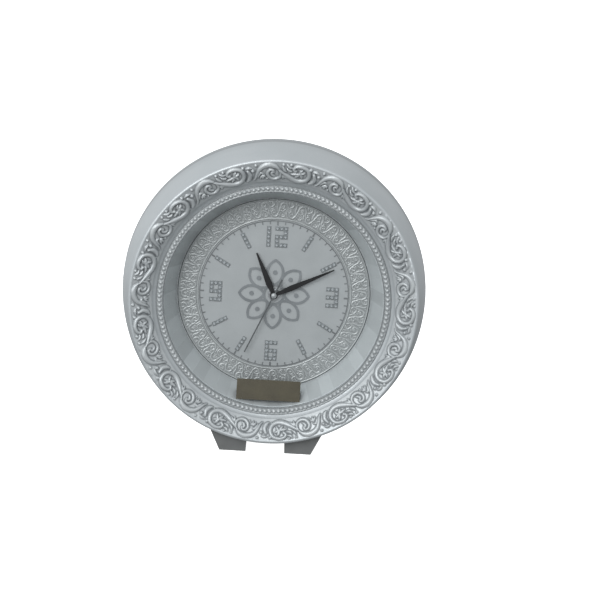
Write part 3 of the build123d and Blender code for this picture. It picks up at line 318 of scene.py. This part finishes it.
def add_mix(tree, blend, colour):
    mix = tree.nodes.new("ShaderNodeMix")
    mix.data_type = "RGBA"
    mix.blend_type = blend
    mix.inputs["Factor"].default_value = 1.0
    tree.links.new(colour, mix.inputs[MIX_FIRST])
    return mix


def shaded(tree, colour, shade):
    """A colour multiplied by a shade."""
    mix = add_mix(tree, "MULTIPLY", colour)
    tree.links.new(shade, mix.inputs[MIX_SECOND])
    return mix.outputs[MIX_RESULT]


def along_axes(tree, place):
    """The parts of a place along X, Y and Z."""
    split = tree.nodes.new("ShaderNodeSeparateXYZ")
    tree.links.new(place, split.inputs["Vector"])
    return split.outputs


def add_patina_and_shadow(tree, colour, patina):
    """Darkens the places that the carving marks as hollow: patina in the hollows, and on the band also a
    painted shadow at its outer edge.
    """
    hollow = tree.nodes.new("ShaderNodeAttribute")
    hollow.attribute_name = "hollow"
    mix = add_mix(tree, "MIX", colour)
    mix.inputs[MIX_SECOND].default_value = tone(*patina)
    tree.links.new(hollow.outputs["Fac"], mix.inputs["Factor"])
    return mix.outputs[MIX_RESULT]


def add_painted_facet_shades(tree, place, colour, count, spread_share):
    """Gives each flat of a ring its own random painted shade, darker or lighter by up to the share, for the
    light it catches.
    """
    axes = along_axes(tree, place)
    turn = tree.nodes.new("ShaderNodeMath")
    turn.operation = "ARCTAN2"
    tree.links.new(axes["X"], turn.inputs[0])
    tree.links.new(axes["Z"], turn.inputs[1])
    flat = tree.nodes.new("ShaderNodeMath")
    flat.operation = "SNAP"
    flat.inputs[1].default_value = 2 * math.pi / count
    tree.links.new(turn.outputs["Value"], flat.inputs[0])
    random = tree.nodes.new("ShaderNodeTexWhiteNoise")
    random.noise_dimensions = "1D"
    tree.links.new(flat.outputs["Value"], random.inputs["W"])
    shade = add_range(tree, random.outputs["Value"], (0, 1), (1 - spread_share, 1 + spread_share))
    return shaded(tree, colour, shade)


def add_bands(tree, place, colour, axis, steps):
    """Shades a colour by the place along an axis; each step is a place and a shade, in rising order."""
    first, last = steps[0][0], steps[-1][0]
    reach = add_range(tree, along_axes(tree, place)[axis], (first, last), (0, 1))
    stops = [((step - first) / (last - first), (shade, shade, shade, 1.0)) for step, shade in steps]
    return shaded(tree, colour, add_ramp(tree, reach, stops))


def finish(name):
    """A surface whose colour drifts over a soft cloud and whose gloss and relief follow a fine grain."""
    dark, light, metallic, roughness, cloud_scale, grain_scale, bump = FINISHES[name]
    material = bpy.data.materials.new(name)
    material.use_nodes = True
    tree = material.node_tree
    shader = tree.nodes["Principled BSDF"]
    shader.inputs["Metallic"].default_value = metallic
    shader.inputs["Coat Weight"].default_value = COATS.get(name, 0.0)
    place = tree.nodes.new("ShaderNodeTexCoord").outputs["Object"]
    cloud = add_noise(tree, place, cloud_scale, CLOUD_DETAIL)
    grain = add_noise(tree, place, grain_scale, GRAIN_DETAIL)
    colour = add_ramp(tree, cloud, [(NOISE_SPAN[0], tone(*dark)), (NOISE_SPAN[1], tone(*light))])
    if name in PATINA_AND_SHADOW_COLOURS:
        colour = add_patina_and_shadow(tree, colour, PATINA_AND_SHADOW_COLOURS[name])
    # The frame gets its painted shade toward the wall; the cell gets its steel ends and jacket
    if name in banded:
        colour = add_bands(tree, place, colour, *banded[name])
    # Painted shade for each flat of the pleated ring
    if name in painted_facet_shades:
        colour = add_painted_facet_shades(tree, place, colour, *painted_facet_shades[name])
    tree.links.new(colour, shader.inputs["Base Color"])
    tree.links.new(add_range(tree, grain, NOISE_SPAN, roughness), shader.inputs["Roughness"])
    relief = tree.nodes.new("ShaderNodeBump")
    relief.inputs["Strength"].default_value = bump
    relief.inputs["Distance"].default_value = GRAIN_HEIGHT
    tree.links.new(grain, relief.inputs["Height"])
    tree.links.new(relief.outputs["Normal"], shader.inputs["Normal"])
    return material


materials = {name: finish(name) for name in FINISHES}
for finish_name, node_names in FINISHED_NODES.items():
    for node_name in node_names:
        nodes[node_name].data.materials.clear()
        nodes[node_name].data.materials.append(materials[finish_name])


# Carved relief

def smooth_path(points, widths):
    """Points and half widths along a rounded line through a few given places."""
    points = np.array(points, float)
    widths = np.interp(np.linspace(0, 1, len(points)), np.linspace(0, 1, len(widths)), widths) / 2
    padded = np.vstack([2 * points[0] - points[1], points, 2 * points[-1] - points[-2]])
    path = []
    half_widths = []
    for i in range(len(points) - 1):
        a, b, c, d = padded[i:i + 4]
        for t in np.linspace(0, 1, STROKE_POINTS, endpoint=False):
            straight = 2 * b + (c - a) * t
            curved = (2 * a - 5 * b + 4 * c - d) * t ** 2 + (3 * b - a - 3 * c + d) * t ** 3
            path.append((straight + curved) / 2)
            half_widths.append(widths[i] + (widths[i + 1] - widths[i]) * t)
    path.append(points[-1])
    half_widths.append(widths[-1])
    return np.array(path), np.array(half_widths)


def raise_stroke(height, along, across, period, points, widths, rise):
    """Lifts a rounded ridge out of the height field; the field repeats along its length."""
    path, half_widths = smooth_path(points, widths)
    for (u, v), half in zip(path, half_widths):
        gap = np.abs(along - u) % period
        gap = np.minimum(gap, period - gap)
        distance = np.hypot(gap, across - v)
        round_top = np.sqrt(np.clip(1 - (distance / half) ** 2, 0, None))
        np.maximum(height, rise * min(1, half / FULL_HALF_WIDTH) * round_top, out=height)


def blurred(field, sigma):
    """A soft average, wrapped along the length and held at the two edges."""
    reach = int(BLUR_REACH * sigma) + 1
    kernel = np.exp(-(np.arange(-reach, reach + 1) / sigma) ** 2 / 2)
    kernel /= kernel.sum()
    wide = np.pad(field, ((reach, reach), (0, 0)), mode="edge")
    soft = sum(k * wide[i:i + field.shape[0]] for i, k in enumerate(kernel))
    wide = np.pad(soft, ((0, 0), (reach, reach)), mode="wrap")
    return sum(k * wide[:, i:i + field.shape[1]] for i, k in enumerate(kernel))


def carved(length, width, step, strokes, dots, spread, depth):
    """The height and the hollowness of one repeat, in millimetres, rows across and columns along.

    A place counts as hollow where it lies below its surroundings, which reach as far as the spread.
    """
    columns = round(length / step)
    rows = round(width / step) + 1
    along, across = np.meshgrid(np.arange(columns) * length / columns, np.linspace(0, width, rows))
    height = np.zeros_like(along)
    for points, widths, rise in strokes:
        raise_stroke(height, along, across, length, points, widths, rise)
    for place, radius, rise in dots:
        raise_stroke(height, along, across, length, [place, place], [2 * radius, 2 * radius], rise)
    height = blurred(height, CARVING_BLUR)
    lowness = (blurred(height, spread / step) - height) / depth
    return height, np.clip(lowness - HOLLOW_START_SHARE, 0, HOLLOW_LIMIT_SHARE)


def thickened(strokes, share):
    """The same strokes with their widths multiplied by a share."""
    return [(points, [share * thick for thick in widths], rise) for points, widths, rise in strokes]


def level_strokes(lines, length, stretches):
    """Straight ridges along the whole repeat; each line is its place across, its width and its rise."""
    strokes = []
    for place, thick, rise in lines:
        points = [(along, place) for along in np.linspace(0, length, stretches + 1)]
        strokes.append((points, [thick, thick], rise))
    return strokes


def doubled_ends(field):
    """A field with its first and its last row once more."""
    return np.vstack([field[:1], field, field[-1:]])


def sunk_ends(height, level):
    """A height field with one more row at each side, at the given level."""
    edge = np.full_like(height[:1], level)
    return np.vstack([edge, height, edge])


def ring_mesh(name, places, hollow, material, body):
    """A closed ring from rows of places that run around it, the last row joined to the first."""
    rows, columns = hollow.shape
    index = np.arange(rows * columns).reshape(rows, columns)
    next_row = np.roll(index, -1, axis=0)
    corners = [index, np.roll(index, -1, axis=1), np.roll(next_row, -1, axis=1), next_row]
    quads = np.stack(corners, axis=-1).reshape(-1, len(corners))
    mesh = bpy.data.meshes.new(name)
    mesh.from_pydata(places.reshape(-1, 3).tolist(), [], quads.tolist())
    shade = mesh.attributes.new("hollow", "FLOAT", "POINT")
    shade.data.foreach_set("value", hollow.reshape(-1).astype(np.float32))
    mesh.polygons.foreach_set("use_smooth", np.ones(len(mesh.polygons), bool))
    mesh.materials.append(material)
    mesh.update()
    piece = bpy.data.objects.new(name, mesh)
    bpy.context.collection.objects.link(piece)
    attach(piece, body)
    return piece


def around(radius, depth, angle):
    """Places on circles about the hand axis, the angle clockwise from the top."""
    return np.stack([radius * np.sin(angle), -depth + 0 * angle, radius * np.cos(angle)], axis=-1)


def flat_ring(name, inner_radius, outer_radius, seat_depth, height, hollow, material):
    """A carved ring on a flat seat of the case, its two edges brought down to the seat."""
    rows, columns = height.shape
    height = sunk_ends(height, 0)
    radius = doubled_ends(np.linspace(inner_radius, outer_radius, rows)[:, None]) + 0 * height
    angle = -2 * math.pi * np.arange(columns) / columns + 0 * height
    return ring_mesh(name, around(radius, seat_depth + height, angle), doubled_ends(hollow), material, "case")


# Frieze of curled stems; each repeat is drawn from the middle of its large curl,
# the first number along the ring, the second from the middle line outward
FRIEZE_STROKES = [
    # large curl, small curl and the crescent inside it
    ([(24, 3.5), (17, -2.5), (11, -7.2), (4, -10.6), (-3, -10.6), (-8.5, -6.5), (-10.2, 0), (-7.5, 7),
      (-1, 9.8), (4.8, 8.9), (7.2, 5.3), (5, 2.5)],
     [1.6, 3.4, 5.0, 5.2, 4.6, 4.0, 3.8, 3.6, 3.4, 3.0, 2.8, 2.6], 2.5),
    ([(22.5, 2), (21, -3), (22, -7.5), (26, -10.4), (31, -10.1), (34.5, -6.5), (35.5, -1.5), (33, 2.5),
      (29.5, 2.5), (28.5, -0.5)],
     [1.4, 2.4, 3.0, 3.4, 3.6, 3.6, 3.2, 2.8, 2.4, 2.0], 2.3),
    ([(27.5, -6.5), (30, -5), (31.2, -2.4), (30.5, 0)], [1.2, 2.8, 3.0, 1.6], 2.1),
    # stem from the large curl to the next one, with the stroke beside it
    ([(23.5, 4.5), (27.5, 7.5), (32.5, 9), (38.5, 8), (43.5, 4.5), (47, -1.5), (49.5, -7.5), (52, -11)],
     [1.8, 4.2, 5.0, 4.8, 4.0, 3.0, 2.2, 1.4], 2.3),
    ([(40.5, -2.5), (43, -1.2), (45.5, -4.5), (47, -8)], [1.2, 2.6, 2.2, 1.2], 1.9),
    # full comma leaf in front of the large curl
    ([(60, -11), (56.6, -8), (55, -3), (56.5, 2.6)], [1.6, 4.2, 4.2, 2.6], 2.3),
    # sprigs of three leaves at the inner edge
    ([(41.2, -4.6), (39.4, -6), (38.4, -8.4)], [1.0, 2.2, 1.0], 1.8),
    ([(41.4, -5), (41, -8), (41.4, -11.2)], [1.0, 2.4, 0.9], 1.9),
    ([(41.6, -4.8), (43.4, -7.4), (44.4, -10.4)], [1.0, 2.2, 1.0], 1.8),
    ([(19.2, -3.6), (16.6, -7), (13.4, -9.8)], [1.0, 2.4, 1.0], 1.8),
    ([(19.4, -4), (18.4, -8), (17.8, -11.4)], [1.0, 2.4, 0.9], 1.9),
    ([(66, -10.6), (63.6, -9.4), (62.6, -11.2)], [1.0, 2.0, 0.9], 1.7),
    # flower leaves inside the large curl
    ([(0, 0), (-2.4, 1.2), (-5, 2.4)], [1.6, 3.2, 1.4], 2.3),
    ([(0, 0), (-2, -2.6), (-3, -5.6)], [1.6, 3.0, 1.4], 2.2),
    ([(0.6, -0.4), (2, -2.8), (4.4, -5.4)], [1.6, 3.2, 1.4], 2.3),
    ([(0.4, 0.6), (-0.6, 3.6), (-2.2, 5.8)], [1.6, 3.0, 1.4], 2.2),
    ([(1, 0), (5, -1.2), (9.4, -1.8)], [1.6, 3.2, 1.4], 2.2),
    # leaves in the tail of the large curl
    ([(9, 2), (12, 2.6), (14.4, 5)], [1.4, 3.0, 1.2], 2.1),
    ([(9.6, 6.4), (12.4, 7.4), (14.4, 9.8)], [1.4, 2.8, 1.2], 2.0),
    ([(15, 0.8), (17.6, 3.4), (19, 6.8)], [1.4, 2.8, 1.2], 2.0),
    ([(52, 6.4), (55, 7.4), (58.4, 6.8)], [1.2, 2.6, 1.2], 1.9),
]
FRIEZE_DOTS = [
    ((0.6, 0.2), 1.7, 2.6), ((5, 3), 1.7, 2.5), ((28.9, -0.4), 1.6, 2.2), ((51.4, 2.6), 1.9, 2.3),
    ((47.4, 9.4), 1.5, 1.9), ((61.4, 8.4), 1.7, 2.0), ((10.4, 10.2), 1.4, 1.8), ((18.4, 9.6), 1.5, 1.9),
    ((56.8, 3), 1.6, 2.2), ((36.6, -10.4), 1.2, 1.6),
]


def bed_line(along):
    """Radius and depth on the bed's profile, and the way out of it; past the bed it follows the crest."""
    over = np.clip(along / bed_width - 1, 0, None) * bed_width
    on_bed = np.clip(along / bed_width, 0, 1)
    flatten = np.clip(over / FRIEZE_OVERHANG, 0, 1)
    radius = BED_INNER_RADIUS + bed_run * on_bed + over
    depth = BED_INNER_DEPTH + bed_climb * on_bed + over * (bed_climb / bed_run) * (1 - flatten / 2)
    inward = bed_climb / bed_width * (1 - flatten)
    forward = np.sqrt(1 - inward ** 2)
    bulge = BED_BULGE * 4 * on_bed * (1 - on_bed)
    return radius - inward * bulge, depth + forward * bulge, inward, forward


def frieze_place(point, stretch_share):
    """A place of the drawing on one repeat of the frieze."""
    return (point[0] * stretch_share, point[1] * FRIEZE_WIDTH_SHARE + FRIEZE_MIDDLE)


def frieze_relief():
    width = bed_width + FRIEZE_OVERHANG
    length = math.pi * (BED_INNER_RADIUS + BED_OUTER_RADIUS) / FRIEZE_REPEATS / MILLIMETRE
    stretch_share = length / FRIEZE_DRAWN_LENGTH
    strokes = [
        ([frieze_place(point, stretch_share) for point in points], widths, rise)
        for points, widths, rise in thickened(FRIEZE_STROKES, FRIEZE_THICKNESS_SHARE)
    ]
    dots = [(frieze_place(point, stretch_share), radius, rise) for point, radius, rise in FRIEZE_DOTS]
    height, hollow = carved(
        length, width / MILLIMETRE, FRIEZE_STEP / MILLIMETRE, strokes, dots,
        FRIEZE_HOLLOW_SPREAD, FRIEZE_HOLLOW_DEPTH,
    )
    height = np.tile(height, FRIEZE_REPEATS) * MILLIMETRE + BED_GROUND
    hollow = np.tile(hollow, FRIEZE_REPEATS)
    rows, columns = height.shape
    height = sunk_ends(height, -BED_EDGE_SINK)
    radius, depth, inward, forward = bed_line(doubled_ends(np.linspace(0, width, rows)[:, None]))
    angle = FRIEZE_FIRST_ANGLE - 2 * math.pi * np.arange(columns) / columns + 0 * height
    places = around(radius - inward * height, depth + forward * height, angle)
    piece = ring_mesh("frieze_relief", places, doubled_ends(hollow), materials["patina_silver"], "case")
    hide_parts("frieze_ring")


# Band of fine interlaced tendrils between two rounded fillets
BAND_STROKES = [
    ([(0, 7), (2.4, 3.8), (6, 4), (8, 7.4), (6.4, 10.4), (3.8, 9.6), (3.8, 7.2)],
     [1.1, 1.3, 1.3, 1.2, 1.1, 1.0, 0.9], 0.75),
    ([(8, 7.4), (9.6, 10.6), (10.3, 15), (12.6, 18.6), (16.4, 18.6), (18.2, 15.4), (16.4, 12.6), (14, 13.6),
      (14.2, 16)],
     [1.2, 1.2, 1.2, 1.3, 1.2, 1.1, 1.0, 0.9, 0.9], 0.75),
    ([(18.2, 15.4), (19.4, 11), (20.6, 7)], [1.1, 1.2, 1.1], 0.75),
    ([(10.2, 14), (7, 14.4), (4.6, 17), (5.4, 20), (8, 20)], [1.0, 1.2, 1.2, 1.1, 0.9], 0.7),
    ([(19.6, 10.4), (16, 9.6), (13, 7.4), (13.2, 4.2), (16.2, 3.6)], [1.0, 1.2, 1.2, 1.1, 0.9], 0.7),
    ([(1, 9), (1.4, 13), (1, 17.4), (2.4, 20.4)], [0.8, 1.2, 1.2, 0.8], 0.65),
    ([(11.4, 10.6), (11, 6.6), (10, 3.4)], [0.8, 1.2, 0.8], 0.65),
    ([(5.6, 12.4), (7.6, 11.8)], [0.9, 1.2], 0.6),
    ([(14.6, 10.8), (12.8, 11.8)], [0.9, 1.2], 0.6),
    ([(18.8, 3.6), (19.6, 5.6)], [0.9, 1.3], 0.6),
    ([(8.6, 17.4), (9.4, 20)], [0.9, 1.3], 0.6),
]
BAND_DOTS = [
    ((5.4, 7.2), 0.8, 0.75), ((15.6, 14.6), 0.8, 0.75), ((6.4, 17.8), 0.7, 0.7), ((15, 6), 0.7, 0.7),
    ((3, 14.6), 0.6, 0.6), ((17.8, 7.6), 0.6, 0.6), ((20, 19.6), 0.7, 0.65), ((12.4, 20.4), 0.6, 0.6),
    ((8.6, 3.4), 0.6, 0.6), ((2.6, 5.8), 0.5, 0.6),
]
BAND_FILLETS = [(1.0, 1.9, 0.78), (22.6, 1.7, 0.7)]


def band_relief():
    width = BAND_OUTER_RADIUS - BAND_INNER_RADIUS
    length = math.pi * (BAND_INNER_RADIUS + BAND_OUTER_RADIUS) / BAND_REPEATS / MILLIMETRE
    strokes = thickened(BAND_STROKES, BAND_THICKNESS_SHARE)
    fillets = level_strokes(BAND_FILLETS, length, BAND_FILLET_STRETCHES)
    height, hollow = carved(
        length, width / MILLIMETRE, BAND_STEP / MILLIMETRE, strokes + fillets, BAND_DOTS,
        BAND_HOLLOW_SPREAD, BAND_HOLLOW_DEPTH,
    )
    ground = BAND_GROUND_SHADE * np.clip(1 - height / BAND_RISE, 0, 1)
    hollow = np.tile(np.maximum(hollow, ground), BAND_REPEATS)
    height = np.tile(height, BAND_REPEATS) * MILLIMETRE + BAND_GROUND
    # Painted shadow: the outer edge is lowered and painted fully in the hollow colour, for the shade where
    # the band meets the pleated ring
    shadow_rows = round(BAND_SHADOW / BAND_STEP)
    height[-shadow_rows:] = BAND_GROUND
    hollow[-shadow_rows:] = 1
    piece = flat_ring(
        "band_relief", BAND_INNER_RADIUS, BAND_OUTER_RADIUS, BAND_SEAT_DEPTH, height, hollow,
        materials["band_silver"],
    )
    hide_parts("dial_band")


def bead_relief():
    """Round beads in a trough between two fillets, one repeat for each bead."""
    width = (BEAD_OUTER_RADIUS - BEAD_INNER_RADIUS) / MILLIMETRE
    length = math.pi * (BEAD_INNER_RADIUS + BEAD_OUTER_RADIUS) / BEAD_COUNT / MILLIMETRE
    step = length / BEAD_STEPS
    thick = BEAD_FILLET / MILLIMETRE
    edges = [(place, thick, BEAD_FILLET_RISE / MILLIMETRE) for place in (thick / 2, width - thick / 2)]
    fillets = level_strokes(edges, length, BEAD_FILLET_STRETCHES)
    bead = BEAD_RADIUS / MILLIMETRE
    beads = [((length / 2, width / 2), bead, bead)]
    height, hollow = carved(length, width, step, fillets, beads, BEAD_HOLLOW_SPREAD, BEAD_HOLLOW_DEPTH)
    height = np.tile(height, BEAD_COUNT) * MILLIMETRE + BEAD_BASE
    hollow = np.tile(hollow, BEAD_COUNT)
    groove_rows = round(BEAD_GROOVE / MILLIMETRE / step)
    hollow[:groove_rows] = BEAD_GROOVE_SHADE
    hollow[-groove_rows:] = BEAD_GROOVE_SHADE
    piece = flat_ring(
        "bead_relief", BEAD_INNER_RADIUS, BEAD_OUTER_RADIUS, BEAD_SEAT_DEPTH, height, hollow,
        materials["bead_silver"],
    )
    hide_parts("bead_ring")


frieze_relief()
band_relief()
bead_relief()


# Floor, light and camera

def white_backdrop():
    """A floor and far walls that are only seen, and give the clock no light."""
    sides = [(-1, -1), (1, -1), (1, 1), (-1, 1)]
    count = len(sides)
    corners = [(BACKDROP_REACH * x, BACKDROP_REACH * y, z) for z in (0, BACKDROP_WALL) for x, y in sides]
    floor = tuple(range(count))
    walls = [(i, (i - 1) % count, (i - 1) % count + count, i + count) for i in floor]
    mesh = bpy.data.meshes.new("backdrop")
    mesh.from_pydata(corners, [], [floor, *walls])
    white = materials["backdrop"]
    shader = white.node_tree.nodes["Principled BSDF"]
    shader.inputs["Emission Color"].default_value = tone(255, 255, 255)
    shader.inputs["Emission Strength"].default_value = BACKDROP_GLOW
    mesh.materials.append(white)
    backdrop = bpy.data.objects.new("backdrop", mesh)
    backdrop.location.z = floor_height
    backdrop.visible_diffuse = False
    backdrop.visible_glossy = False
    backdrop.visible_shadow = False
    bpy.context.collection.objects.link(backdrop)


def key_light():
    light = bpy.data.lights.new("key", "AREA")
    light.shape = "DISK"
    light.size = KEY_SIZE
    light.energy = KEY_POWER
    lamp = bpy.data.objects.new("key", light)
    lamp.location = KEY_PLACE
    lamp.rotation_euler = (-KEY_PLACE).to_track_quat("-Z", "Y").to_euler()
    bpy.context.collection.objects.link(lamp)


def sky_light():
    """Soft light from above, dimmer from below and from the right."""
    world = bpy.data.worlds.new("studio")
    bpy.context.scene.world = world
    world.use_nodes = True
    tree = world.node_tree
    axes = along_axes(tree, tree.nodes.new("ShaderNodeTexCoord").outputs["Generated"])
    strength = tree.nodes.new("ShaderNodeMath")
    strength.operation = "MULTIPLY"
    level = add_range(tree, axes["Z"], (SKY_LOW_SLOPE, 0), (SKY_LOW, SKY_HIGH))
    shade = add_range(tree, axes["X"], (-1, 1), (1 + SKY_SIDE_SHARE, 1 - SKY_SIDE_SHARE))
    tree.links.new(level, strength.inputs[0])
    tree.links.new(shade, strength.inputs[1])
    sky = tree.nodes["Background"]
    sky.inputs["Color"].default_value = SKY_COLOUR
    tree.links.new(strength.outputs["Value"], sky.inputs["Strength"])


def camera():
    data = bpy.data.cameras.new("camera")
    data.sensor_width = CAMERA_SENSOR
    data.lens = CAMERA_LENS
    data.shift_x = CAMERA_SHIFT_X
    data.shift_y = CAMERA_SHIFT_Y
    viewer = bpy.data.objects.new("camera", data)
    away = Vector((0, -math.cos(CAMERA_ELEVATION), math.sin(CAMERA_ELEVATION)))
    aim = (-away).to_track_quat("-Z", "Y").to_matrix() @ Matrix.Rotation(CAMERA_ROLL, 3, "Z")
    viewer.matrix_world = Matrix.Translation(CAMERA_TARGET + away * CAMERA_DISTANCE) @ aim.to_4x4()
    bpy.context.collection.objects.link(viewer)
    bpy.context.scene.camera = viewer


white_backdrop()
sky_light()
key_light()
camera()
bpy.context.scene.view_settings.view_transform = "Standard"
